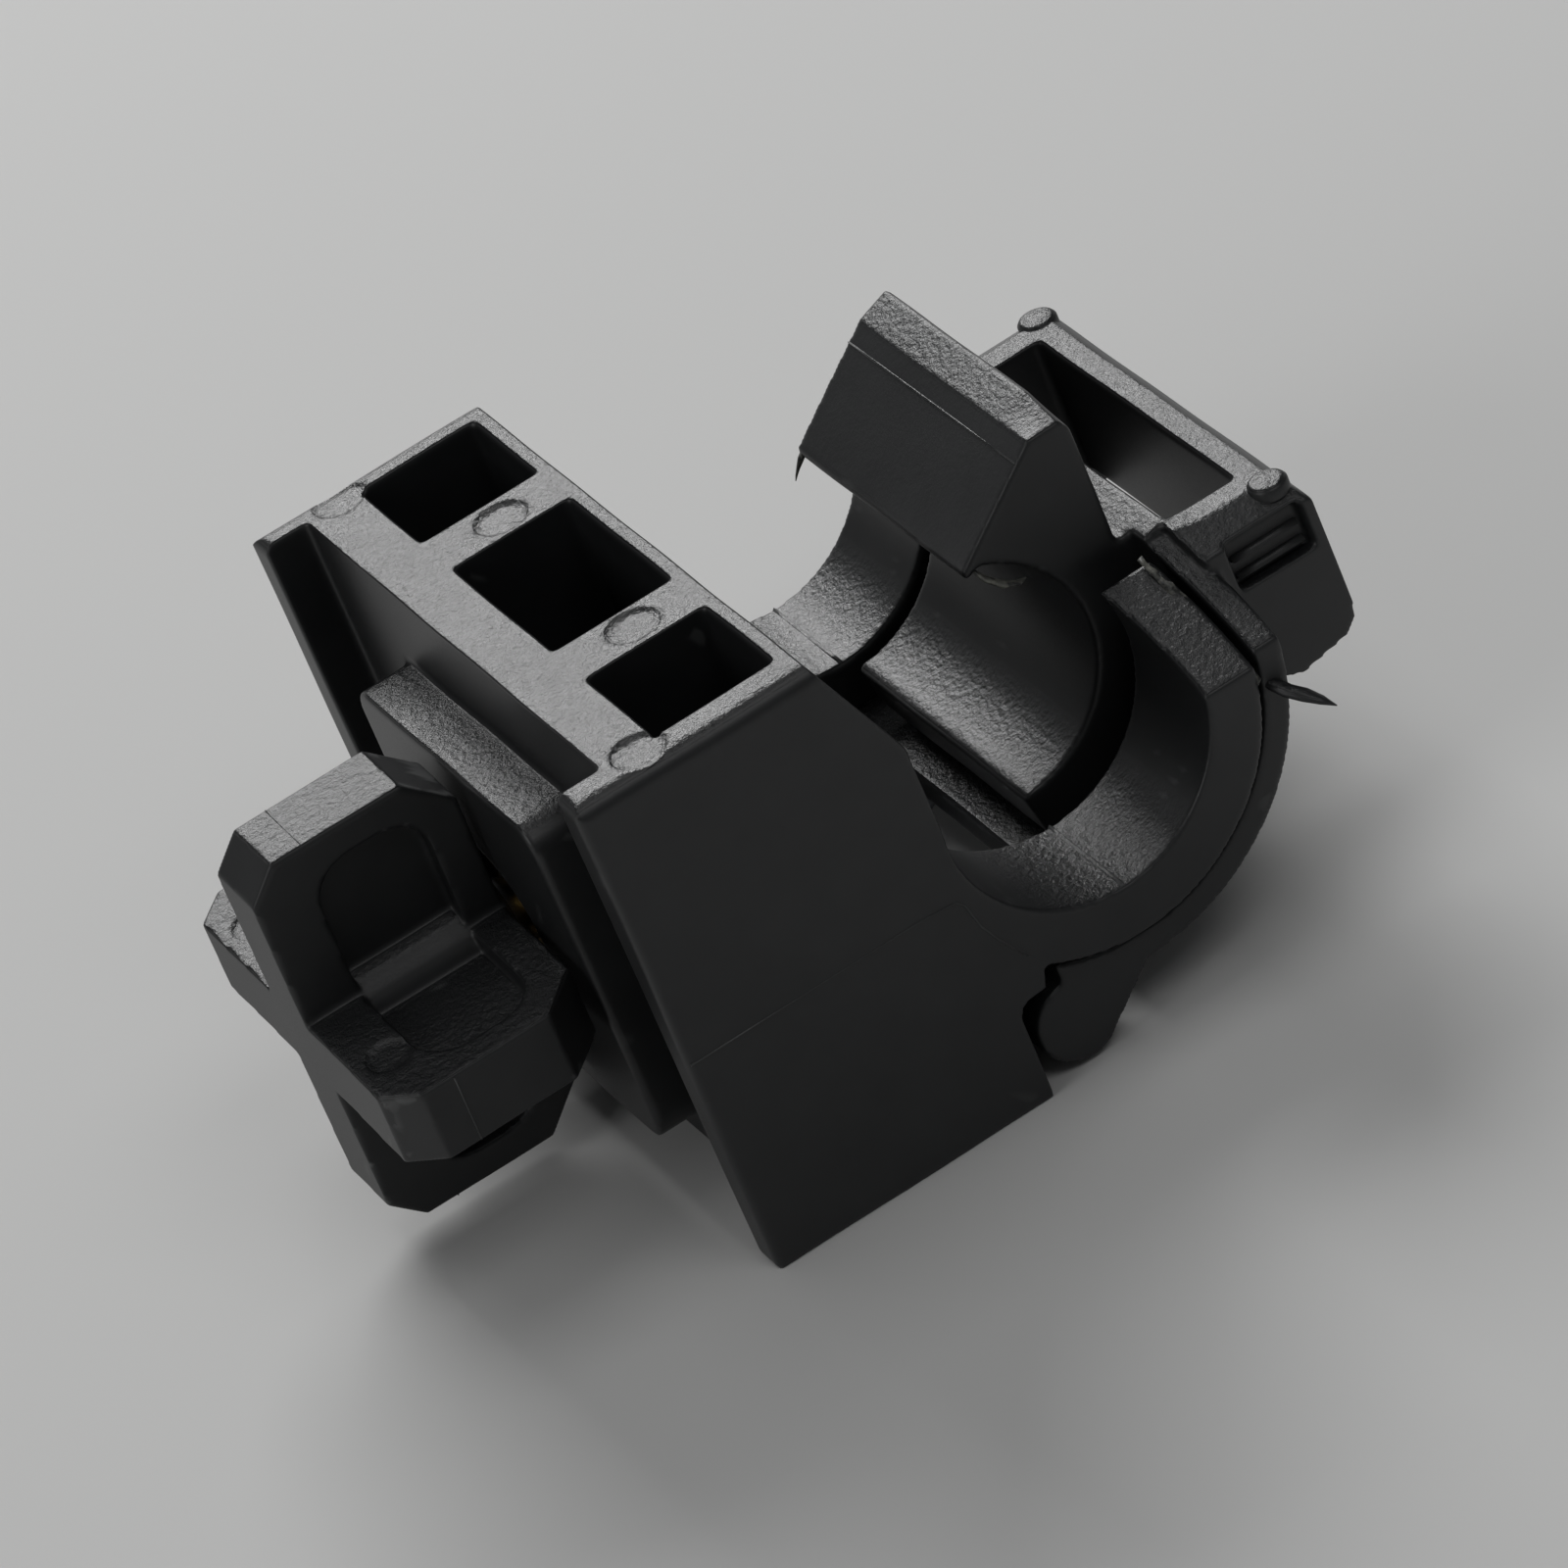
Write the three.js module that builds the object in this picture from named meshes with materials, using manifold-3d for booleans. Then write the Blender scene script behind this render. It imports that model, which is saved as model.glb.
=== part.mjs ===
// Spring clamp for a thin tube: a moulded body with two jaw rings, a sprung latch whose finger
// closes the mouth of the rings, and a four-wing knob whose screw pushes a pad against the tube.
// Millimetres. +X from the knob to the latch, +Y along the gripped tube, +Z up.
// The origin is on the base plane at mid-length, below the hook-side top corner of the cheeks.
// All parts are at rest: latch closed, knob turned in until its wings nearly meet the boss.
import * as THREE from 'three';
import { mergeVertices } from 'three/addons/utils/BufferGeometryUtils.js';
import Module from 'manifold-3d';

const wasm = await Module();
wasm.setup();

// Block
const LENGTH = 26.6; // along the tube
const HEIGHT = 20;
const KNOB_EDGE = -9.3; // x of the cheeks' knob-side edge
const FOOT_EDGE = 2.05; // x of the cheeks' hook-side edge near the base
const CHEEK = 1.6; // thickness of the two end cheeks
const RIB_IN = 4.0; // the two inner ribs stand between these distances from mid-length
const RIB_OUT = 6.5;
const WEB_OUT = -7.5; // knob-side faces of the long web
const WEB_IN = -5.3;
const WALL_IN = -0.6; // pocket side of the hook-side wall
const WALL_OUT = 2.0; // its outer face, which slopes back to x = 0 at the top
const FLOOR = 1.6;
const LEAD_TOP = 15.3; // height where the lead-in slope meets the upright wall
const BITE = 0.5; // how far joined shapes of one moulding run into each other

// Jaw rings
const BORE = { x: 7.2, z: 11.05, r: 5.2 };
const RING_R = 7.25;
const RING_LENGTH = 5.5;
const SHOULDER = [[1.05, 3], [2.05, 3.4], [2.3, 3.85], [3.3, 4.0], [3.5, 4.85], [1.05, 7.5]]; // at each ring root

// Knob, screw and pad, all on one axis along X
const SCREW_Z = 9.4;
const BOSS = { face: -9.6, halfLength: 7.1, halfHeight: 6.9, corner: 1.2 };
const KNOB = { end: -18, inner: -9.95, collarEnd: -9.8, r: 8.1, wing: 3.0, hub: 2.2, rest: 3.5 };
const KNOB_CHAMFER = { end: 1.2, inner: 1.7 };
const DISH = { end: 2.2, inner: 1.45, tip: 1.25, corner: 1.6, depth: 0.8 }; // rim widths, corner radius
const SCREW_R = 1.5;
const SCREW_CLEARANCE = 0.25;
const THREAD = { pitch: 0.7, depth: 0.25 };
const SPIGOT = { r: 0.85, from: 0.1, to: 1.35, lead: 0.25 }; // turned end of the screw, inside the pad
const INSERT = { r: 2.6, from: -8.8, to: -5.7, teeth: 24, tooth: 0.2 };
const INSERT_WAIST = { from: -7.9, to: -7.3, depth: 0.4 };
const CLIP = { r: 2.5, at: -3.25, thickness: 0.6, mouth: 40 };
const PAD = { r: 2.6, back: 0.5, face: 2.2, socket: 1.1, chamfer: 0.35 };

// Latch
const GAP = 0.3;
const STRAP_IN = RING_R + GAP;
const STRAP_OUT = 8.6;
const STRAP_END = THREE.MathUtils.degToRad(18);
const BAND_HALF = LENGTH / 2 - 0.5; // the strap stops short of the rings' end faces
const SEAT_R = 4.65;
const FINGER_R = 6.6;
const FINGER_HALF = 6.3;
const FINGER_FACE = 13.85; // x of the finger's outer face
const NOSE = { x: 8.3, z: 15.1 };
const TIP = { x: 12.25, z: 18.65 };
const ARM_LOW = 10.2; // the ring arms end on a slope, from this height at the outer faces
const ARM_HIGH = 13.2; // up to this one beside the finger
const POST_IN = 7.1;
const POST_OUT = 9.5;
const THUMB = { in: 18.3, out: 19.9, low: 7.8, top: 13.5 };
const POST_CHAMFER = { width: 1.3, drop: 0.7 }; // along the posts' outer top edges
const RECESS = { x0: 16.3, x1: 19.4, z0: 10.9, z1: 12.8, depth: 0.6 }; // in each post's outer face

// Hinge
const HINGE = { x: 4.0, z: 1.8, r: 1.6, pin: 0.7, hole: 0.85 };
const LUG_IN = 4.6;
const LUG_OUT = 9.4;
const EYE_IN = 9.7;
const SPRING = { r: 1.2, wire: 0.2, turns: 7, inset: 0.9 };

function solid(geometry) {
  geometry.deleteAttribute('normal');
  geometry.deleteAttribute('uv');
  const merged = mergeVertices(geometry, 1e-5);
  const mesh = new wasm.Mesh({
    numProp: 3,
    vertProperties: merged.attributes.position.array,
    triVerts: new Uint32Array(merged.index.array),
  });
  return new wasm.Manifold(mesh);
}

function union(parts) {
  return parts.reduce((sum, part) => sum.add(part));
}

function cut(whole, parts) {
  return parts.reduce((rest, part) => rest.subtract(part), whole);
}

function toMesh(name, body, color, roughness, metalness = 0) {
  const { vertProperties, triVerts } = body.getMesh();
  const geometry = new THREE.BufferGeometry();
  geometry.setAttribute('position', new THREE.BufferAttribute(vertProperties, 3));
  geometry.setIndex(new THREE.BufferAttribute(triVerts, 1));
  geometry.computeVertexNormals();
  const mesh = new THREE.Mesh(geometry, new THREE.MeshStandardMaterial({ color, roughness, metalness }));
  mesh.name = name;
  return mesh;
}

// Points of an arc in the XZ plane, angles in radians from +X towards +Z.
function arc(x, z, r, from, to, steps) {
  const points = [];
  for (let i = 0; i <= steps; i += 1) {
    const a = from + ((to - from) * i) / steps;
    points.push([x + r * Math.cos(a), z + r * Math.sin(a)]);
  }
  return points;
}

// A prism along Y between y0 and y1, from an outline of [x, z] points.
function prismY(outline, y0, y1) {
  const shape = new THREE.Shape(outline.map(([x, z]) => new THREE.Vector2(x, z)));
  const geometry = new THREE.ExtrudeGeometry(shape, { depth: y1 - y0, bevelEnabled: false });
  geometry.rotateX(Math.PI / 2);
  geometry.translate(0, y1, 0);
  return solid(geometry);
}

// The same prism on both sides of mid-length.
function pairY(outline, inner, outer) {
  return prismY(outline, inner, outer).add(prismY(outline, -outer, -inner));
}

function box(x0, x1, y0, y1, z0, z1) {
  return prismY([[x0, z0], [x1, z0], [x1, z1], [x0, z1]], y0, y1);
}

// A prism along X between x0 and x1, from an outline of [y, z] points about the screw axis.
function prismX(outline, x0, x1) {
  const shape = new THREE.Shape(outline.map(([y, z]) => new THREE.Vector2(y, z)));
  const geometry = new THREE.ExtrudeGeometry(shape, { depth: x1 - x0, bevelEnabled: false });
  geometry.rotateZ(Math.PI / 2);
  geometry.rotateY(Math.PI / 2);
  geometry.translate(x0, 0, SCREW_Z);
  return solid(geometry);
}

// A turned solid about the screw axis, from [radius, x] points that start and end on the axis.
function turned(profile, sides) {
  const points = profile.map(([r, x]) => new THREE.Vector2(r, x));
  const geometry = new THREE.LatheGeometry(points, sides);
  geometry.rotateZ(-Math.PI / 2);
  geometry.translate(0, 0, SCREW_Z);
  return solid(geometry);
}

function rodX(r, x0, x1, sides = 32) {
  return turned([[0, x0], [r, x0], [r, x1], [0, x1]], sides);
}

function rodY(x, z, r, y0, y1, sides = 28) {
  return prismY(arc(x, z, r, 0, 2 * Math.PI, sides).slice(0, -1), y0, y1);
}

const END = LENGTH / 2;
const WALL = [[WALL_IN, 0], [WALL_OUT, 0], [WALL_OUT, LEAD_TOP], [0, HEIGHT], [WALL_IN, HEIGHT]];

// The jaw ring's section: a round hook that leaves the block under the bore.
function ringSection() {
  const outer = arc(BORE.x, BORE.z, RING_R, -Math.PI * 0.78, Math.PI * 0.12, 40);
  const inner = arc(BORE.x, BORE.z, BORE.r, Math.PI * 0.14, -Math.PI, 44);
  return [...outer, ...inner, [BORE.x - BORE.r - 1, BORE.z]];
}

// What lies above a line from (y0, z0) out to (y1, z1), on both sides of mid-length.
function above(y0, z0, y1, z1, x0, x1) {
  const outline = [[y0, z0], [y1, z1], [y1, HEIGHT + 1], [y0, HEIGHT + 1]];
  const wedge = prismX(outline.map(([y, z]) => [y, z - SCREW_Z]), x0, x1);
  return [wedge, wedge.mirror([0, 1, 0])];
}

// What the sloping ends take off the ring arms and off the strap outside them.
function armSlope() {
  return above(END - RING_LENGTH - BITE, ARM_HIGH, END + 1, ARM_LOW, BORE.x + 2, THUMB.in);
}

function postSlope() {
  const { width, drop } = POST_CHAMFER;
  const low = THUMB.top - (drop / width) * (width + 1);
  return above(POST_OUT - width, THUMB.top, POST_OUT + 1, low, BORE.x + STRAP_IN, THUMB.out + 1);
}

function clampBody() {
  const cheek = [[KNOB_EDGE, 0], [FOOT_EDGE, 0], [FOOT_EDGE, BORE.z], [WALL_OUT, LEAD_TOP], [0, HEIGHT],
    [KNOB_EDGE, HEIGHT]];
  const rib = [[WEB_OUT, 0], ...WALL.slice(1, 4), [WEB_OUT, HEIGHT]];
  const lugRoot = WALL_OUT - 1;
  const lug = [
    [lugRoot, HINGE.z - HINGE.r],
    ...arc(HINGE.x, HINGE.z, HINGE.r, -Math.PI / 2, Math.PI / 2, 14),
    [lugRoot, HINGE.z + HINGE.r],
  ];
  const bossOutline = new THREE.Path();
  const { halfLength: bl, halfHeight: bh, corner: bc } = BOSS;
  bossOutline.absarc(bl - bc, bh - bc, bc, 0, Math.PI / 2);
  bossOutline.absarc(-bl + bc, bh - bc, bc, Math.PI / 2, Math.PI);
  bossOutline.absarc(-bl + bc, -bh + bc, bc, Math.PI, Math.PI * 1.5);
  bossOutline.absarc(bl - bc, -bh + bc, bc, Math.PI * 1.5, Math.PI * 2);
  const boss = prismX(bossOutline.getPoints(5).map((p) => [p.x, p.y]), BOSS.face, WEB_OUT + BITE);
  const whole = union([
    pairY(cheek, END - CHEEK, END),
    pairY(ringSection(), END - RING_LENGTH, END),
    pairY(SHOULDER, END - RING_LENGTH, END),
    box(WEB_OUT, WEB_IN, -END + BITE, END - BITE, 0, HEIGHT),
    pairY(rib, RIB_IN, RIB_OUT),
    box(WEB_OUT, WALL_OUT, -END + BITE, END - BITE, 0, FLOOR),
    prismY(WALL, -END + BITE, END - BITE),
    boss,
    pairY(lug, LUG_IN, LUG_OUT),
  ]);
  return cut(whole, [
    ...armSlope(),
    rodY(BORE.x, BORE.z, BORE.r, -END - 1, END + 1, 64),
    rodX(SCREW_R + SCREW_CLEARANCE, BOSS.face - 1, WEB_IN + 1),
    rodX(INSERT.r + SCREW_CLEARANCE, BOSS.face - 1, INSERT.to + SCREW_CLEARANCE),
    rodX(PAD.r + SCREW_CLEARANCE, WALL_IN - 1, BORE.x),
    rodY(HINGE.x, HINGE.z, HINGE.hole, -LUG_OUT - 1, LUG_OUT + 1),
  ]);
}

function latch() {
  const lowEnd = -THREE.MathUtils.degToRad(94);
  const strap = [
    ...arc(BORE.x, BORE.z, STRAP_OUT, lowEnd, STRAP_END, 32),
    ...arc(BORE.x, BORE.z, STRAP_IN, STRAP_END, lowEnd, 32),
  ];
  const reach = Math.acos((HINGE.x - BORE.x) / STRAP_IN);
  const knuckle = [
    ...arc(HINGE.x, HINGE.z, HINGE.r, Math.PI / 2, 2 * Math.PI - 0.7, 18),
    [BORE.x, BORE.z - STRAP_OUT],
    ...arc(BORE.x, BORE.z, STRAP_IN, -Math.PI / 2, -reach, 6),
  ];
  const seatFrom = -Math.PI / 2;
  const linkFrom = -0.42; // angles on the strap where the finger's link and the posts leave it
  const root = STRAP_OUT - 0.2;
  const seat = [
    ...arc(BORE.x, BORE.z, FINGER_R, seatFrom + 0.06, -0.2, 20),
    [FINGER_FACE, BORE.z],
    [FINGER_FACE, TIP.z - 0.5],
    [FINGER_FACE - 0.3, TIP.z],
    [TIP.x, TIP.z],
    [NOSE.x, NOSE.z + 0.35],
    [NOSE.x, NOSE.z],
    ...arc(BORE.x, BORE.z, SEAT_R, Math.PI * 0.38, seatFrom, 30),
  ];
  const link = [
    ...arc(BORE.x, BORE.z, STRAP_IN + BITE, linkFrom, STRAP_END, 10),
    ...arc(BORE.x, BORE.z, FINGER_R - BITE, STRAP_END, linkFrom, 10),
  ];
  const post = [
    ...arc(BORE.x, BORE.z, root, STRAP_END, linkFrom, 4),
    [THUMB.in - 1, THUMB.low - 1.1],
    [THUMB.out - 0.6, THUMB.low - 0.7],
    [THUMB.out - 0.1, THUMB.low - 0.2],
    [THUMB.out, THUMB.low + 0.4],
    [THUMB.out, THUMB.top - 0.8],
    [THUMB.out - 0.7, THUMB.top],
    [RECESS.x0, THUMB.top],
  ];
  const wall = [
    [THUMB.in, THUMB.low],
    [THUMB.out - 0.1, THUMB.low],
    [THUMB.out, THUMB.low + 0.4],
    [THUMB.out, THUMB.top - 0.8],
    [THUMB.out - 0.6, THUMB.top],
    [THUMB.in, THUMB.top],
  ];
  const recess = box(RECESS.x0, RECESS.x1, POST_OUT - RECESS.depth, POST_OUT + 1, RECESS.z0, RECESS.z1);
  const whole = union([
    cut(prismY(strap, -BAND_HALF, BAND_HALF), armSlope()),
    pairY(knuckle, EYE_IN, BAND_HALF),
    prismY(seat, -FINGER_HALF, FINGER_HALF),
    prismY(link, -FINGER_HALF, FINGER_HALF),
    pairY(post, POST_IN, POST_OUT),
    prismY(wall, -POST_OUT + BITE, POST_OUT - BITE),
  ]);
  return cut(whole, [
    ...postSlope(),
    recess,
    recess.mirror([0, 1, 0]),
    rodY(HINGE.x, HINGE.z, HINGE.hole, -BAND_HALF + 0.8, BAND_HALF + 1),
  ]);
}

// The knob's four wings are plates; each face is sunk inside a raised rim.
function wingKnob() {
  const { end, inner, collarEnd, r, wing, hub, rest } = KNOB;
  const side = [
    [end, 0],
    [inner, 0],
    [inner, r - KNOB_CHAMFER.inner],
    [inner - KNOB_CHAMFER.inner, r],
    [end + KNOB_CHAMFER.end, r],
    [end, r - KNOB_CHAMFER.end],
  ];
  const low = end + DISH.end;
  const high = inner - DISH.inner;
  const centre = r - DISH.tip - DISH.corner;
  const sunk = [
    [low, 0],
    [high, 0],
    ...arc(high - DISH.corner, centre, DISH.corner, 0, Math.PI / 2, 5),
    ...arc(low + DISH.corner, centre, DISH.corner, Math.PI / 2, Math.PI, 5),
  ];
  const plate = prismY(side, -wing / 2, wing / 2);
  const quarter = cut(plate, [pairY(sunk, wing / 2 - DISH.depth, wing)]);
  const wings = [0, 90, 180, 270].map((a) => quarter.rotate([a, 0, 0]));
  const cross = union(wings).rotate([rest, 0, 0]).translate([0, 0, SCREW_Z]);
  const core = rodX(hub, end + GAP, collarEnd, 40);
  return cut(cross.add(core), [rodX(SCREW_R + SCREW_CLEARANCE, end + 1, collarEnd + 1)]);
}

function screw() {
  const head = KNOB.end + 1 + GAP;
  const shank = SCREW_R - THREAD.depth;
  const profile = [[0, head], [SCREW_R, head], [SCREW_R, KNOB.collarEnd]];
  for (let x = KNOB.collarEnd + THREAD.pitch; x < CLIP.at - 2 * THREAD.pitch; x += THREAD.pitch) {
    profile.push([shank, x], [SCREW_R, x + THREAD.pitch / 2]);
  }
  profile.push([shank, CLIP.at - THREAD.pitch], [shank, SPIGOT.from], [SPIGOT.r, SPIGOT.from]);
  profile.push([SPIGOT.r, SPIGOT.to - SPIGOT.lead], [SPIGOT.r - SPIGOT.lead, SPIGOT.to], [0, SPIGOT.to]);
  return turned(profile, 24);
}

function threadedInsert() {
  const outline = [];
  for (let i = 0; i < INSERT.teeth; i += 1) {
    const a = (2 * Math.PI * i) / INSERT.teeth;
    const half = Math.PI / INSERT.teeth;
    const valley = INSERT.r - INSERT.tooth;
    outline.push([INSERT.r * Math.cos(a), INSERT.r * Math.sin(a)]);
    outline.push([valley * Math.cos(a + half), valley * Math.sin(a + half)]);
  }
  const { from, to, depth } = INSERT_WAIST;
  const knurled = prismX(outline, INSERT.from, INSERT.to);
  const waist = rodX(INSERT.r + 1, from, to).subtract(rodX(INSERT.r - depth, from - 1, to + 1));
  return cut(knurled, [waist, rodX(SCREW_R + THREAD.depth / 3, INSERT.from - 1, INSERT.to + 1)]);
}

// An open clip in a groove of the screw: it stops the screw from being turned right out.
function retainingClip() {
  const mouth = THREE.MathUtils.degToRad(CLIP.mouth);
  const outline = [
    ...arc(0, 0, CLIP.r, mouth, 2 * Math.PI - mouth, 26),
    ...arc(0, 0, SCREW_R + THREAD.depth / 3, 2 * Math.PI - mouth, mouth, 22),
  ];
  return prismX(outline, CLIP.at, CLIP.at + CLIP.thickness);
}

function pressurePad() {
  const { r, back, face, socket, chamfer } = PAD;
  const depth = SPIGOT.to + SCREW_CLEARANCE;
  const front = [[r, back], [r, face - chamfer], [r - chamfer, face], [0, face]];
  return turned([[0, depth], [socket, depth], [socket, back], ...front], 32);
}

class Helix extends THREE.Curve {
  constructor(radius, from, to, turns) {
    super();
    Object.assign(this, { radius, from, to, turns });
  }

  getPoint(t) {
    const a = 2 * Math.PI * this.turns * t;
    const y = this.from + (this.to - this.from) * t;
    return new THREE.Vector3(HINGE.x + this.radius * Math.cos(a), y, HINGE.z + this.radius * Math.sin(a));
  }
}

function torsionSpring() {
  const section = new THREE.Shape();
  section.absarc(0, 0, SPRING.wire, 0, 2 * Math.PI);
  const reach = LUG_IN - SPRING.inset;
  const geometry = new THREE.ExtrudeGeometry(section, {
    steps: SPRING.turns * 14,
    curveSegments: 3,
    bevelEnabled: false,
    extrudePath: new Helix(SPRING.r, -reach, reach, SPRING.turns),
  });
  return solid(geometry);
}

function hingePin() {
  return rodY(HINGE.x, HINGE.z, HINGE.pin, -BAND_HALF + 1, BAND_HALF - 0.2);
}

const group = new THREE.Group();
const NYLON = '#262728';
group.add(toMesh('clamp_body', clampBody(), NYLON, 0.55));
group.add(toMesh('spring_latch', latch(), NYLON, 0.55));
group.add(toMesh('wing_knob', wingKnob(), NYLON, 0.55));
group.add(toMesh('clamp_screw', screw(), '#8d8f92', 0.35, 1));
group.add(toMesh('threaded_insert', threadedInsert(), '#b08d4a', 0.35, 1));
group.add(toMesh('retaining_clip', retainingClip(), '#8d8f92', 0.35, 1));
group.add(toMesh('pressure_pad', pressurePad(), '#303132', 0.7));
group.add(toMesh('torsion_spring', torsionSpring(), '#9a9c9f', 0.3, 1));
group.add(toMesh('hinge_pin', hingePin(), '#9a9c9f', 0.3, 1));

export default group;
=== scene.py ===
import math

import bmesh
import bpy
import numpy as np
from mathutils import Matrix, Vector


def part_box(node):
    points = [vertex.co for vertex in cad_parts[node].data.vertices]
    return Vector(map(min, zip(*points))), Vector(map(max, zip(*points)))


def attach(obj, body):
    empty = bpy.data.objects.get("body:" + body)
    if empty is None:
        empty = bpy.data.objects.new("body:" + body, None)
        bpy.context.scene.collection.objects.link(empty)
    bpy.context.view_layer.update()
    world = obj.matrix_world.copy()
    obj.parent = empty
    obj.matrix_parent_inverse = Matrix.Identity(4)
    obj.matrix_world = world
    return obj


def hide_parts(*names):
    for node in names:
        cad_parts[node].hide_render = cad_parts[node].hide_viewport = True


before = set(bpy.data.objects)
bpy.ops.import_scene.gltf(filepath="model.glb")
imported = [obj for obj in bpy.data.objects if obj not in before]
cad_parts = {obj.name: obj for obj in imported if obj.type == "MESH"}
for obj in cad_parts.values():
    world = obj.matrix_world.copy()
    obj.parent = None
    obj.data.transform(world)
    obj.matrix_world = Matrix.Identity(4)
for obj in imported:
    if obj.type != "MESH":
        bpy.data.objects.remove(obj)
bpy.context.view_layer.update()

# ---- Clamp body -------------------------------------------------------------------------
# One injection moulding in black nylon: a block cored out from above, with two jaw rings.
# The steel tool leaves rounded edges, a spark-eroded grain on the faces square to its
# opening direction, sunk ejector-pin marks on the top, and a fine line where its halves met.
MM = 0.001
NYLON_DARK = "#161718"
NYLON_LIGHT = "#232425"
# Edge colour: partly real wear, partly a painted highlight along the rounded edges.
NYLON_WORN_EDGE_AND_HIGHLIGHT = "#4b4c4c"
NYLON_ROUGHNESS = 0.42
ERODED_GRAIN = 0.26
FINE_GRAIN = 0.07
BLOTCH = 1.6
PIN_MARK = 1.0
PIN_MARK_DEPTH = 0.12
SINK = 0.012
SKIN = 0.125

body_low, body_high = (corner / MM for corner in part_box("clamp_body"))
TOP = body_high.z
FRONT = body_low.y
REAR = body_high.y
KNOB_EDGE = body_low.x + 0.3
WALL_OUT = 2.0
LEAD_TOP = 15.3
BORE = Vector((7.2, 0, 11.05))
BORE_R = 5.2
RING_LENGTH = 5.5
RIB = 5.2


def linear(hexcode):
    """An sRGB hex colour as the linear RGBA that shaders take."""
    parts = [int(hexcode[i:i + 2], 16) / 255 for i in (1, 3, 5)]
    return [c / 12.92 if c <= 0.04045 else ((c + 0.055) / 1.055) ** 2.4 for c in parts] + [1]


def add(tree, kind, settings, links=None):
    """Adds a shader node: settings fill its sockets or properties, links join sockets to it."""
    node = tree.nodes.new(kind)
    for name, value in settings.items():
        if isinstance(name, int) or name in node.inputs:
            node.inputs[name].default_value = value
        else:
            setattr(node, name, value)
    for name, socket in (links or {}).items():
        tree.links.new(socket, node.inputs[name])
    return node


def per(size):
    """A texture scale whose cells are this many millimetres across."""
    return 1 / (size * MM)


def start_material(name):
    material = bpy.data.materials.new(name)
    material.use_nodes = True
    tree = material.node_tree
    place = add(tree, "ShaderNodeTexCoord", {})
    return material, tree, tree.nodes["Principled BSDF"], place


def moulded_nylon(name, dark, light, worn_edge_and_highlight, roughness):
    """Black moulded nylon: a soft even sheen, sparkling grain on the up and down faces, dull
    blotches where the melt cooled unevenly, and paler edges: partly wear where it is handled,
    partly a painted highlight."""
    material, tree, shader, place = start_material(name)
    where = place.outputs["Object"]
    blotch = add(tree, "ShaderNodeTexNoise", {"Scale": per(BLOTCH), "Detail": 4}, {"Vector": where})
    fine = add(tree, "ShaderNodeTexNoise", {"Scale": per(FINE_GRAIN), "Detail": 3}, {"Vector": where})
    coarse = add(tree, "ShaderNodeTexNoise", {"Scale": per(ERODED_GRAIN), "Detail": 4, "Roughness": 0.65},
                 {"Vector": where})
    facing = add(tree, "ShaderNodeSeparateXYZ", {}, {"Vector": place.outputs["Normal"]})
    upward = add(tree, "ShaderNodeMath", {"operation": "ABSOLUTE"}, {0: facing.outputs["Z"]})
    flat = add(tree, "ShaderNodeMapRange", {"From Min": 0.75, "From Max": 0.95},
               {"Value": upward.outputs[0]})
    # Convex edges found by Pointiness are mixed towards the edge colour: partly wear, partly a painted
    # highlight.
    edge = add(tree, "ShaderNodeNewGeometry", {})
    edge_wear_and_highlight = add(tree, "ShaderNodeMapRange", {"From Min": 0.56, "From Max": 0.68},
               {"Value": edge.outputs["Pointiness"]})
    edge_rub_and_highlight = add(tree, "ShaderNodeMath", {"operation": "MULTIPLY"},
              {0: edge_wear_and_highlight.outputs["Result"], 1: blotch.outputs["Fac"]})
    base = add(tree, "ShaderNodeMix", {"data_type": "RGBA", 6: linear(dark), 7: linear(light)},
               {0: blotch.outputs["Fac"]})
    colour = add(tree, "ShaderNodeMix", {"data_type": "RGBA", 7: linear(worn_edge_and_highlight)},
                 {0: edge_rub_and_highlight.outputs[0], 6: base.outputs[2]})
    tree.links.new(colour.outputs[2], shader.inputs["Base Color"])
    dull = add(tree, "ShaderNodeMapRange", {"To Min": roughness - 0.07, "To Max": roughness + 0.07},
               {"Value": fine.outputs["Fac"]})
    gloss = add(tree, "ShaderNodeMath", {"operation": "MULTIPLY_ADD", 1: -0.12},
                {0: flat.outputs["Result"], 2: dull.outputs["Result"]})
    tree.links.new(gloss.outputs[0], shader.inputs["Roughness"])
    sparkle = add(tree, "ShaderNodeMath", {"operation": "MULTIPLY"},
                  {0: coarse.outputs["Fac"], 1: flat.outputs["Result"]})
    skin = add(tree, "ShaderNodeBump", {"Strength": 0.25, "Distance": 0.006 * MM},
               {"Height": fine.outputs["Fac"]})
    grain = add(tree, "ShaderNodeBump", {"Strength": 1.0, "Distance": 0.075 * MM},
                {"Height": sparkle.outputs[0], "Normal": skin.outputs["Normal"]})
    tree.links.new(grain.outputs["Normal"], shader.inputs["Normal"])
    shader.inputs["IOR"].default_value = 1.53
    return material


def show(name, mesh, body, material):
    """Puts a mesh into the scene as a piece that rides on a body."""
    piece = bpy.data.objects.new(name, mesh)
    bpy.context.scene.collection.objects.link(piece)
    piece.data.materials.clear()
    piece.data.materials.append(material)
    piece.data.shade_smooth()
    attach(piece, body)
    return piece


def evaluated(piece):
    """A piece's mesh with its modifiers applied, and the piece itself removed."""
    graph = bpy.context.evaluated_depsgraph_get()
    mesh = bpy.data.meshes.new_from_object(piece.evaluated_get(graph))
    bpy.data.objects.remove(piece)
    return mesh


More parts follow.
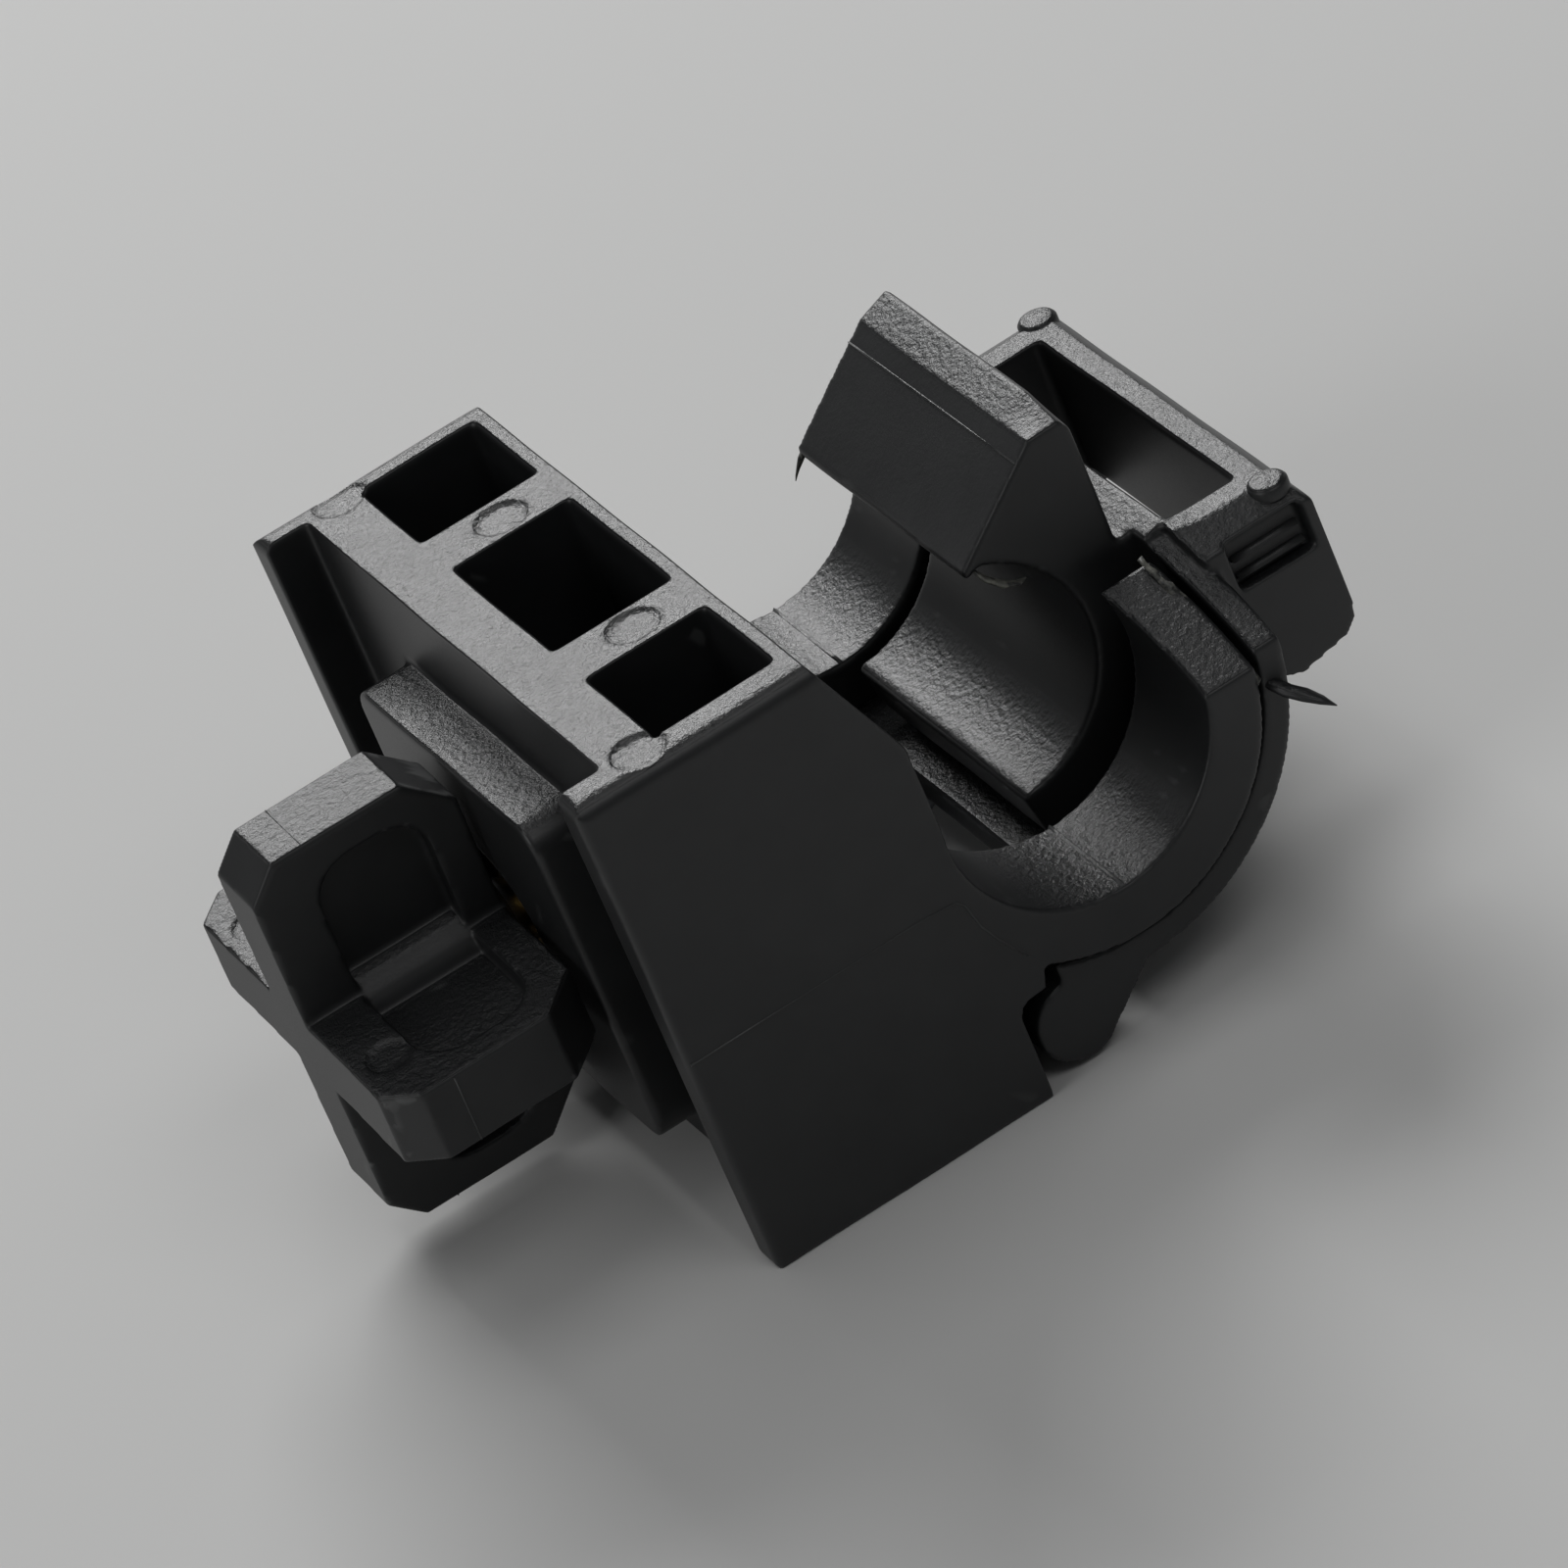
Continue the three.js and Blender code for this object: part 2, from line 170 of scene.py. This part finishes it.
def moulded_skin(node, cell, rounds, shape, keep):
    """A closed, evenly meshed skin over a node's solid with softly rounded edges. shape moves
    its points, an N by 3 array in millimetres; keep is the share of the faces that stay."""
    solid = bmesh.new()
    solid.from_mesh(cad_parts[node].data)
    bmesh.ops.remove_doubles(solid, verts=solid.verts, dist=MM / 10000)
    mesh = bpy.data.meshes.new(node + "_solid")
    solid.to_mesh(mesh)
    solid.free()
    rough = bpy.data.objects.new(node + "_solid", mesh)
    bpy.context.scene.collection.objects.link(rough)
    skin = rough.modifiers.new("skin", "REMESH")
    skin.mode = "VOXEL"
    skin.voxel_size = cell * MM
    soften = rough.modifiers.new("soften", "SMOOTH")
    soften.factor = 0.5
    soften.iterations = rounds
    fine = evaluated(rough)
    points = np.empty(len(fine.vertices) * 3)
    fine.vertices.foreach_get("co", points)
    points = points.reshape(-1, 3) / MM
    shape(points)
    fine.vertices.foreach_set("co", (points * MM).ravel())
    dense = bpy.data.objects.new(node + "_dense", fine)
    bpy.context.scene.collection.objects.link(dense)
    thin = dense.modifiers.new("thin", "DECIMATE")
    thin.ratio = keep
    return evaluated(dense)


def round_edge(points, a, b, corner, inward, radius):
    """Pulls a square edge onto a round one. a and b are the two axes across the edge, corner
    its place on them, and inward the signs that lead from it into the material."""
    across = [(points[:, axis] - at) * sign - radius for axis, at, sign in zip((a, b), corner, inward)]
    reach = np.hypot(*across)
    outside = (across[0] < 0) & (across[1] < 0) & (reach > radius)
    for axis, at, sign, value in zip((a, b), corner, inward, across):
        pulled = value * radius / np.maximum(reach, radius) + radius
        points[:, axis] = np.where(outside, at + sign * pulled, points[:, axis])


def sink_marks(points):
    """The slight waviness of thick moulded walls."""
    x, y, z = points.T
    points[:, 0] += SINK * np.sin(y * 0.9 + z * 0.5)
    points[:, 1] += SINK * np.sin(x * 0.8 + z * 0.7 + 1)
    points[:, 2] += SINK * (1 + np.sin(x * 0.7 + y * 0.6 + 2))


PIN_MARKS = [(-6.1, 11.95), (-2.75, RIB), (-2.75, -RIB), (-6.1, -11.95)]


def shape_body(points):
    x, y, z = points.T
    slope = (z - LEAD_TOP) / (TOP - LEAD_TOP)
    lead = WALL_OUT * (1 - np.clip(slope, 0, 1))
    for side, radius in ((FRONT, 0.7), (REAR, 1.2)):
        inward = -math.copysign(1, side)
        round_edge(points, 1, 2, (side, TOP), (inward, -1), radius)
        round_edge(points, 0, 1, (KNOB_EDGE, side), (1, inward), 0.35)
    round_edge(points, 0, 2, (KNOB_EDGE, TOP), (1, -1), 0.5)
    near_top = points[:, 2] > LEAD_TOP
    corner = points[near_top]
    round_edge(corner, 0, 1, (lead[near_top], REAR), (-1, -1), 1.0)
    points[near_top] = corner
    for mark_x, mark_y in PIN_MARKS:
        reach = np.hypot(points[:, 0] - mark_x, points[:, 1] - mark_y)
        sunk = np.clip((PIN_MARK - reach) / 0.08, 0, 1) * (points[:, 2] > TOP - 0.35)
        points[:, 2] -= PIN_MARK_DEPTH * sunk
    sink_marks(points)


body_nylon = moulded_nylon("moulded_black_nylon_body", NYLON_DARK, NYLON_LIGHT, NYLON_WORN_EDGE_AND_HIGHLIGHT, NYLON_ROUGHNESS)
body_skin = moulded_skin("clamp_body", SKIN, 4, shape_body, 0.3)
body = show("clamp_body_moulding", body_skin, "body", body_nylon)
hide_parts("clamp_body")


# ---- Parting lines and flash on the body -----------------------------------------------
# Where the tool halves met, the melt crept into the joint and left a hair-thin raised line
# on both cheeks and along the bottom of each bore, and a torn fin on the ring arm's end.
LINE_WIDTH = 0.11
LINE_HEIGHT = 0.045
BORE_LINE = (0.5, 0.12)
BORE_LINE_ANGLE = -90
CREASE = 0.3


def point(x, y, z):
    return Vector((x, y, z)) * MM


def ridge(path, heights, ups, width):
    """A thin raised line: a three-cornered section carried along a path of points in mm."""
    mesh = bmesh.new()
    rings = []
    for i, spot in enumerate(path):
        ahead = Vector(path[min(i + 1, len(path) - 1)]) - Vector(path[max(i - 1, 0)])
        up = Vector(ups[i]).normalized()
        side = ahead.cross(up).normalized() * width / 2
        foot = Vector(spot) - up * width * 0.4
        corners = [foot - side, foot + side, Vector(spot) + up * heights[i]]
        rings.append([mesh.verts.new(corner * MM) for corner in corners])
    for first, second in zip(rings, rings[1:]):
        for k in range(3):
            mesh.faces.new((first[k], first[(k + 1) % 3], second[(k + 1) % 3], second[k]))
    mesh.faces.new(rings[0][::-1])
    mesh.faces.new(rings[-1])
    bmesh.ops.recalc_face_normals(mesh, faces=mesh.faces)
    return mesh


def to_mesh(name, shape):
    mesh = bpy.data.meshes.new(name)
    shape.to_mesh(mesh)
    shape.free()
    return mesh


def line(name, path, up, body_name, slot, material, width=LINE_WIDTH, height=LINE_HEIGHT):
    shape = ridge(path, [height] * len(path), [up] * len(path), width)
    return show(name, to_mesh(name, shape), body_name, material)


PARTING = [(-9.2, 9.1), (-3, 9.12), (0, 9.1), (1.5, 9.0), (1.75, 8.65), (1.95, 7.65), (2.4, 6.7),
           (3.1, 5.55)]
for side, place in ((FRONT, "front"), (REAR, "rear")):
    path = [(x, side, z) for x, z in PARTING]
    out = (0, math.copysign(1, side), 0)
    line(f"parting_line_{place}_cheek", path, out, "body", "nylon_body", body_nylon)
    inner = side - math.copysign(RING_LENGTH - 0.1, side)
    angle = math.radians(BORE_LINE_ANGLE)
    foot = BORE + Vector((math.cos(angle), 0, math.sin(angle))) * BORE_R
    up = (-math.cos(angle), 0, -math.sin(angle))
    along = [(foot.x, y, foot.z) for y in np.linspace(side * 0.99, inner, 8)]
    line(f"parting_line_{place}_bore", along, up, "body", "nylon_body", body_nylon, *BORE_LINE)


def torn_nylon(name, thick, torn):
    """Thin flash: drawn out and torn, so it is dull, with paler patches where a crease noise runs high."""
    material, tree, shader, place = start_material(name)
    crease = add(tree, "ShaderNodeTexNoise", {"Scale": per(CREASE), "Detail": 6},
                 {"Vector": place.outputs["Object"]})
    spread = add(tree, "ShaderNodeMapRange", {"From Min": 0.4, "From Max": 0.65},
                 {"Value": crease.outputs["Fac"]})
    colour = add(tree, "ShaderNodeMix", {"data_type": "RGBA", 6: linear(thick), 7: linear(torn)},
                 {0: spread.outputs["Result"]})
    bump = add(tree, "ShaderNodeBump", {"Strength": 0.6, "Distance": 0.05 * MM},
               {"Height": crease.outputs["Fac"]})
    tree.links.new(colour.outputs[2], shader.inputs["Base Color"])
    tree.links.new(bump.outputs["Normal"], shader.inputs["Normal"])
    shader.inputs["Roughness"].default_value = 0.6
    shader.inputs["IOR"].default_value = 1.53
    return material


flash_nylon = torn_nylon("torn_nylon_flash", "#262727", "#77776f")
chance = np.random.default_rng(7)
ARM_END = [Vector((14.35, FRONT + 0.05, 9.95)), Vector((13.85, FRONT + RING_LENGTH, 13.2))]
steps = 26
path = [ARM_END[0].lerp(ARM_END[1], i / (steps - 1)) for i in range(steps)]
heights = 0.12 + 0.22 * chance.random(steps) * np.sin(np.linspace(0.4, 2.8, steps))
leans = [(1, 0.25 * math.sin(i * 0.9), 0.5 + 0.2 * math.cos(i * 1.3)) for i in range(steps)]
fin = to_mesh("ring_arm_flash", ridge(path, heights, leans, 0.16))
show("ring_arm_flash", fin, "body", flash_nylon)

# ---- Threaded insert, screw and retaining clip -------------------------------------------
# A knurled brass insert is pressed into the boss. A zinc-plated steel screw with a rolled
# thread runs through it, and a spring-steel clip in a groove stops it from coming out.
TURNING = 0.09


def turned_metal(name, light, dark, roughness, axis):
    """Machined or rolled metal: fine rings left by the tool across its axis, with a slightly
    clouded plating between them, so highlights break into narrow bright bands."""
    material, tree, shader, place = start_material(name)
    where = place.outputs["Object"]
    rings = add(tree, "ShaderNodeTexWave",
                {"bands_direction": axis, "Scale": per(TURNING) / 20, "Distortion": 1.5, "Detail": 2},
                {"Vector": where})
    cloud = add(tree, "ShaderNodeTexNoise", {"Scale": per(0.5), "Detail": 5}, {"Vector": where})
    colour = add(tree, "ShaderNodeMix", {"data_type": "RGBA", 6: linear(light), 7: linear(dark)},
                 {0: cloud.outputs["Fac"]})
    spread = add(tree, "ShaderNodeMapRange", {"To Min": roughness - 0.08, "To Max": roughness + 0.15},
                 {"Value": cloud.outputs["Fac"]})
    bump = add(tree, "ShaderNodeBump", {"Strength": 0.35, "Distance": 0.01 * MM},
               {"Height": rings.outputs["Fac"]})
    tree.links.new(colour.outputs[2], shader.inputs["Base Color"])
    tree.links.new(spread.outputs["Result"], shader.inputs["Roughness"])
    tree.links.new(bump.outputs["Normal"], shader.inputs["Normal"])
    shader.inputs["Metallic"].default_value = 1
    return material


def deburred(name, node, edge, body_name, material):
    """A node's own shape with its sharp edges broken by a small chamfer, as after tumbling."""
    shape = bmesh.new()
    shape.from_mesh(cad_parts[node].data)
    bmesh.ops.remove_doubles(shape, verts=shape.verts, dist=MM / 10000)
    flat = math.radians(3)
    bmesh.ops.dissolve_limit(shape, angle_limit=flat, verts=shape.verts, edges=shape.edges)
    sharp = [e for e in shape.edges if len(e.link_faces) == 2 and e.calc_face_angle() > math.radians(45)]
    bmesh.ops.bevel(shape, geom=sharp, offset=edge * MM, segments=2, profile=0.6, affect="EDGES",
                    clamp_overlap=True)
    piece = show(name, to_mesh(name, shape), body_name, material)
    piece.data.set_sharp_from_angle(angle=math.radians(35))
    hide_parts(node)
    return piece


insert_brass = turned_metal("machined_brass_insert", "#94783f", "#6b5429", 0.36, "X")
screw_steel = turned_metal("zinc_plated_rolled_steel", "#b9bcc0", "#8b8e92", 0.3, "X")
clip_steel = turned_metal("blued_spring_steel_clip", "#8a8c90", "#5c5f64", 0.34, "Y")
deburred("brass_insert", "threaded_insert", 0.05, "body", insert_brass)
deburred("zinc_screw", "clamp_screw", 0.04, "knob", screw_steel)
deburred("open_clip", "retaining_clip", 0.08, "knob", clip_steel)

# ---- Wing knob --------------------------------------------------------------------------
# The knob is moulded over the screw in the same black nylon: four chamfered wings, each
# side sunk inside a raised rim. It is handled most, so its edges get the palest colour: partly
# wear, partly a painted highlight.
knob_low, knob_high = (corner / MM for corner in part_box("wing_knob"))
knob_middle = (knob_low + knob_high) / 2
KNOB_TURN = math.radians(3.5)
WING_HALF = 1.5
KNOB_R = 8.1
KNOB_LINE = knob_low.x + 2.45
KNOB_MARK = (knob_low.x + 1.35, 5.25)


def shape_knob(points):
    """Ejector pins leave a sunk disc on the upper rims of the two level wings."""
    middle_y, middle_z = knob_middle.y, knob_middle.z
    y = points[:, 1] - middle_y
    z = points[:, 2] - middle_z
    across = y * math.cos(KNOB_TURN) + z * math.sin(KNOB_TURN)
    height = z * math.cos(KNOB_TURN) - y * math.sin(KNOB_TURN)
    for side in (-1, 1):
        reach = np.hypot(points[:, 0] - KNOB_MARK[0], across - side * KNOB_MARK[1])
        sunk = np.clip((0.85 - reach) / 0.08, 0, 1) * (np.abs(height - WING_HALF) < 0.25)
        points[:, 2] -= 0.09 * sunk
    sink_marks(points)


# The knob's paler edge colour is partly wear from handling, partly a painted highlight.
knob_nylon = moulded_nylon("moulded_black_nylon_knob", NYLON_DARK, NYLON_LIGHT, "#5a5b5b", 0.48)
knob_skin = moulded_skin("wing_knob", 0.1, 4, shape_knob, 0.45)
knob = show("wing_knob_moulding", knob_skin, "knob", knob_nylon)
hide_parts("wing_knob")
for number in range(4):
    turn = KNOB_TURN + number * math.pi / 2
    out = Vector((0, math.cos(turn), math.sin(turn)))
    across = Vector((0, -math.sin(turn), math.cos(turn)))
    tip = Vector((KNOB_LINE, knob_middle.y, knob_middle.z)) + out * KNOB_R
    ends = [tip + across * (WING_HALF - 0.1) * k for k in (-1, -0.5, 0, 0.5, 1)]
    line(f"knob_witness_line_{number + 1}", ends, out, "knob", "nylon_knob", knob_nylon)

# ---- Pressure pad -----------------------------------------------------------------------
# A small turned acetal button on the screw's spigot, which presses on the tube without
# turning with the screw.
acetal = turned_metal("turned_acetal_pad", "#3a3b3c", "#2a2b2c", 0.42, "X")
acetal.node_tree.nodes["Principled BSDF"].inputs["Metallic"].default_value = 0
acetal.node_tree.nodes["Principled BSDF"].inputs["IOR"].default_value = 1.48
deburred("acetal_button", "pressure_pad", 0.1, "pad", acetal)

# ---- Hinge pin and torsion spring -----------------------------------------------------------
# The latch turns on a ground steel pin through the body's two lugs. A music-wire coil on the
# pin rests one leg on the block and pushes the other up under the latch's strap.
HINGE = Vector((4.0, 0, 1.8))
COIL_R = 1.2
COIL_HALF = 3.7
COIL_TURNS = 7
WIRE_R = 0.2
pin_steel = turned_metal("ground_steel_pin", "#c4c6c8", "#9ea1a4", 0.22, "Y")
deburred("steel_hinge_pin", "hinge_pin", 0.12, "body", pin_steel)
wire_steel = turned_metal("drawn_music_wire", "#a8aaad", "#6f7276", 0.28, "Y")


def wire(name, points, radius, body_name, material):
    """A round wire through points in millimetres."""
    curve = bpy.data.curves.new(name, "CURVE")
    curve.dimensions = "3D"
    curve.bevel_depth = radius * MM
    curve.bevel_resolution = 4
    curve.use_fill_caps = True
    spline = curve.splines.new("POLY")
    spline.points.add(len(points) - 1)
    for spot, where in zip(spline.points, points):
        spot.co = (*(Vector(where) * MM), 1)
    spline.use_smooth = True
    curve.materials.append(material)
    piece = bpy.data.objects.new(name, curve)
    bpy.context.scene.collection.objects.link(piece)
    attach(piece, body_name)
    return piece


def coil_point(t):
    angle = -math.pi / 2 + 2 * math.pi * COIL_TURNS * t
    return HINGE + Vector((COIL_R * math.cos(angle), COIL_HALF * (2 * t - 1), COIL_R * math.sin(angle)))


coil = [coil_point(i / 280) for i in range(281)]
block_leg = [Vector((WALL_OUT + WIRE_R + 0.05, coil[0].y, coil[0].z)), Vector((3.2, coil[0].y, coil[0].z))]
spring = wire("torsion_coil", block_leg + coil, WIRE_R, "body", wire_steel)
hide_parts("torsion_spring")
LATCH_LEG = [(0, -COIL_R), (0.9, -COIL_R), (1.7, -1.0), (2.5, -0.55), (3.2, -0.05), (3.5, 0.1)]
latch_leg = [HINGE + Vector((x, COIL_HALF, z)) for x, z in LATCH_LEG]
wire("torsion_leg", latch_leg, WIRE_R, "latch", wire_steel)

# ---- Latch ------------------------------------------------------------------------------
# A second nylon moulding: a curved strap from two hinge eyes, the finger that closes the
# mouth, and two posts with the thumb bar between them. Flash and vestiges are untrimmed.
latch_low, latch_high = (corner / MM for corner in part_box("spring_latch"))
FINGER_HALF = 6.3
SEAT_R = 4.65
BAR_X = latch_high.x - 0.95
BAR_TOP = 13.5
STUD_Y = 8.35


def shape_latch(points):
    seat_z = BORE.z - SEAT_R
    round_edge(points, 0, 2, (BORE.x, seat_z), (1, -1), 0.45)
    x, y, z = points.T
    crown = np.clip((y + FINGER_HALF) / 2.2, 0, 1) * np.clip((x - 12.3) / 1.2, 0, 1)
    points[:, 2] += 0.45 * crown * np.clip((z - 17.9) / 0.6, 0, 1)
    sink_marks(points)


latch_nylon = moulded_nylon("moulded_black_nylon_latch", NYLON_DARK, NYLON_LIGHT, NYLON_WORN_EDGE_AND_HIGHLIGHT, 0.44)
latch_skin = moulded_skin("spring_latch", SKIN, 4, shape_latch, 0.35)
latch = show("spring_latch_moulding", latch_skin, "latch", latch_nylon)
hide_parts("spring_latch")


def stud(name, centre, radius, rise):
    """A low round pad with a softened rim: turned about Z and closed underneath."""
    profile = [(0.0, rise), (radius - 0.22, rise), (radius - 0.08, rise - 0.05), (radius, rise - 0.16),
               (radius, -0.4), (0.0, -0.4)]
    shape = bmesh.new()
    sides = 40
    rings = []
    for r, z in profile:
        count = sides if r else 1
        turn = [2 * math.pi * k / sides for k in range(count)]
        rings.append([shape.verts.new((Vector(centre) + Vector((r * math.cos(a), r * math.sin(a), z))) * MM)
                      for a in turn])
    for upper, lower in zip(rings, rings[1:]):
        for k in range(sides):
            loop = [upper[k % len(upper)], lower[k % len(lower)]]
            loop += [lower[(k + 1) % len(lower)], upper[(k + 1) % len(upper)]]
            shape.faces.new(list(dict.fromkeys(loop)))
    bmesh.ops.recalc_face_normals(shape, faces=shape.faces)
    piece = show(name, to_mesh(name, shape), "latch", latch_nylon)
    piece.data.set_sharp_from_angle(angle=math.radians(50))


for side, place in ((-1, "front"), (1, "rear")):
    stud(f"thumb_stud_{place}", (BAR_X, side * STUD_Y, BAR_TOP), 0.75, 0.12)
    face = side * 9.5
    for number, z in enumerate((11.25, 11.95), 1):
        floor_y = face - side * 0.55
        rib = [(x, floor_y, z) for x in (16.5, 17.4, 18.3, 19.2)]
        line(f"recess_rib_{place}_{number}", rib, (0, side, 0), "latch", "nylon_latch", latch_nylon,
             0.3, 0.32)
bevel_line = [(11.55, y, 18.1) for y in np.linspace(-FINGER_HALF + 0.1, FINGER_HALF - 0.1, 6)]
line("tip_witness_line", bevel_line, (-0.66, 0, 0.75), "latch", "nylon_latch", latch_nylon, 0.16, 0.06)


def spike(name, path, widths, squash, body_name, material):
    """A drawn-out vestige: a flattened round section that swells and thins along its path."""
    shape = bmesh.new()
    rings = []
    for i, spot in enumerate(path):
        ahead = (Vector(path[min(i + 1, len(path) - 1)]) - Vector(path[max(i - 1, 0)])).normalized()
        side = ahead.cross(Vector((0.1, 0.2, 1))).normalized()
        up = side.cross(ahead)
        ring = []
        for k in range(12):
            a = 2 * math.pi * k / 12
            offset = side * math.cos(a) + up * math.sin(a) * squash
            ring.append(shape.verts.new((Vector(spot) + offset * widths[i]) * MM))
        rings.append(ring)
    for first, second in zip(rings, rings[1:]):
        for k in range(12):
            shape.faces.new((first[k], first[(k + 1) % 12], second[(k + 1) % 12], second[k]))
    shape.faces.new(rings[0][::-1])
    shape.faces.new(rings[-1])
    bmesh.ops.recalc_face_normals(shape, faces=shape.faces)
    return show(name, to_mesh(name, shape), body_name, material)


gate = [(14.9, -12.35, 9.4), (15.0, -12.85, 9.3), (15.2, -13.3, 9.1), (15.55, -13.75, 8.9),
        (15.9, -14.2, 8.65), (16.2, -14.6, 8.4)]
spike("gate_vestige", gate, [0.3, 0.32, 0.34, 0.36, 0.24, 0.03], 0.6, "latch", latch_nylon)
spur = [(8.5, 6.15, 15.3), (8.3, 6.22, 15.05), (8.1, 6.28, 14.75), (7.95, 6.32, 14.5), (7.85, 6.35, 14.3)]
spike("nose_spur", spur, [0.2, 0.2, 0.12, 0.07, 0.03], 0.6, "latch", flash_nylon)
flake = [(8.7, -6.0, 15.4), (8.95, -6.2, 14.85), (9.4, -6.4, 14.4), (9.9, -6.5, 14.15), (10.3, -6.4, 14.1)]
spike("nose_flake", flake, [0.12, 0.34, 0.42, 0.3, 0.05], 0.3, "latch", flash_nylon)

# ---- Studio -----------------------------------------------------------------------------
# A pale sweep under soft light from above and behind, seen with a long lens from the knob's
# side, with the camera rolled about its own axis.
FLOOR = "#cfcfce"
PAPER_TOOTH = 0.6
floor_mesh = bmesh.new()
bmesh.ops.create_grid(floor_mesh, x_segments=4, y_segments=4, size=1.5)
floor = bpy.data.objects.new("floor", to_mesh("floor", floor_mesh))
bpy.context.scene.collection.objects.link(floor)
paper, tree, shader, place = start_material("matt_paper_sweep")
tooth = add(tree, "ShaderNodeTexNoise", {"Scale": per(PAPER_TOOTH), "Detail": 4},
            {"Vector": place.outputs["Object"]})
bump = add(tree, "ShaderNodeBump", {"Strength": 0.1, "Distance": 0.02 * MM},
           {"Height": tooth.outputs["Fac"]})
tree.links.new(bump.outputs["Normal"], shader.inputs["Normal"])
shader.inputs["Base Color"].default_value = linear(FLOOR)
shader.inputs["Roughness"].default_value = 0.85
floor.data.materials.append(paper)

world = bpy.data.worlds.new("studio")
world.use_nodes = True
world.node_tree.nodes["Background"].inputs["Color"].default_value = linear("#f2f4f6")
world.node_tree.nodes["Background"].inputs["Strength"].default_value = 0.1
bpy.context.scene.world = world
bpy.context.scene.view_settings.view_transform = "Standard"


def softbox(name, place, size, watts):
    lamp = bpy.data.lights.new(name, "AREA")
    lamp.shape = "RECTANGLE"
    lamp.size, lamp.size_y = size
    lamp.energy = watts
    box = bpy.data.objects.new(name, lamp)
    bpy.context.scene.collection.objects.link(box)
    box.location = place
    box.rotation_mode = "QUATERNION"
    box.rotation_quaternion = (Vector((0, 0, 0.01)) - Vector(place)).to_track_quat("-Z", "Y")


softbox("overhead_softbox", (0.0, 0.1, 0.6), (0.3, 0.3), 0.4)
softbox("back_softbox", (0.13, 0.5, 0.33), (0.36, 0.2), 2.6)
softbox("left_softbox", (-0.5, -0.1, 0.3), (0.3, 0.3), 0.6)
softbox("front_softbox", (0.1, -0.3, 0.45), (0.25, 0.2), 0.3)

SENSOR = 36
LENS = 235.84
camera_data = bpy.data.cameras.new("camera")
camera_data.sensor_width = SENSOR
camera_data.lens = LENS
camera = bpy.data.objects.new("camera", camera_data)
bpy.context.scene.collection.objects.link(camera)
camera.location = point(-78.558, -290.352, 199.058)
back = Vector((-0.22392589, -0.81408788, 0.53583403))
up = Vector((0.51550994, 0.36765236, 0.77400339))
right = up.cross(back)
camera.rotation_mode = "QUATERNION"
camera.rotation_quaternion = Matrix((right, up, back)).transposed().to_quaternion()
bpy.context.scene.camera = camera
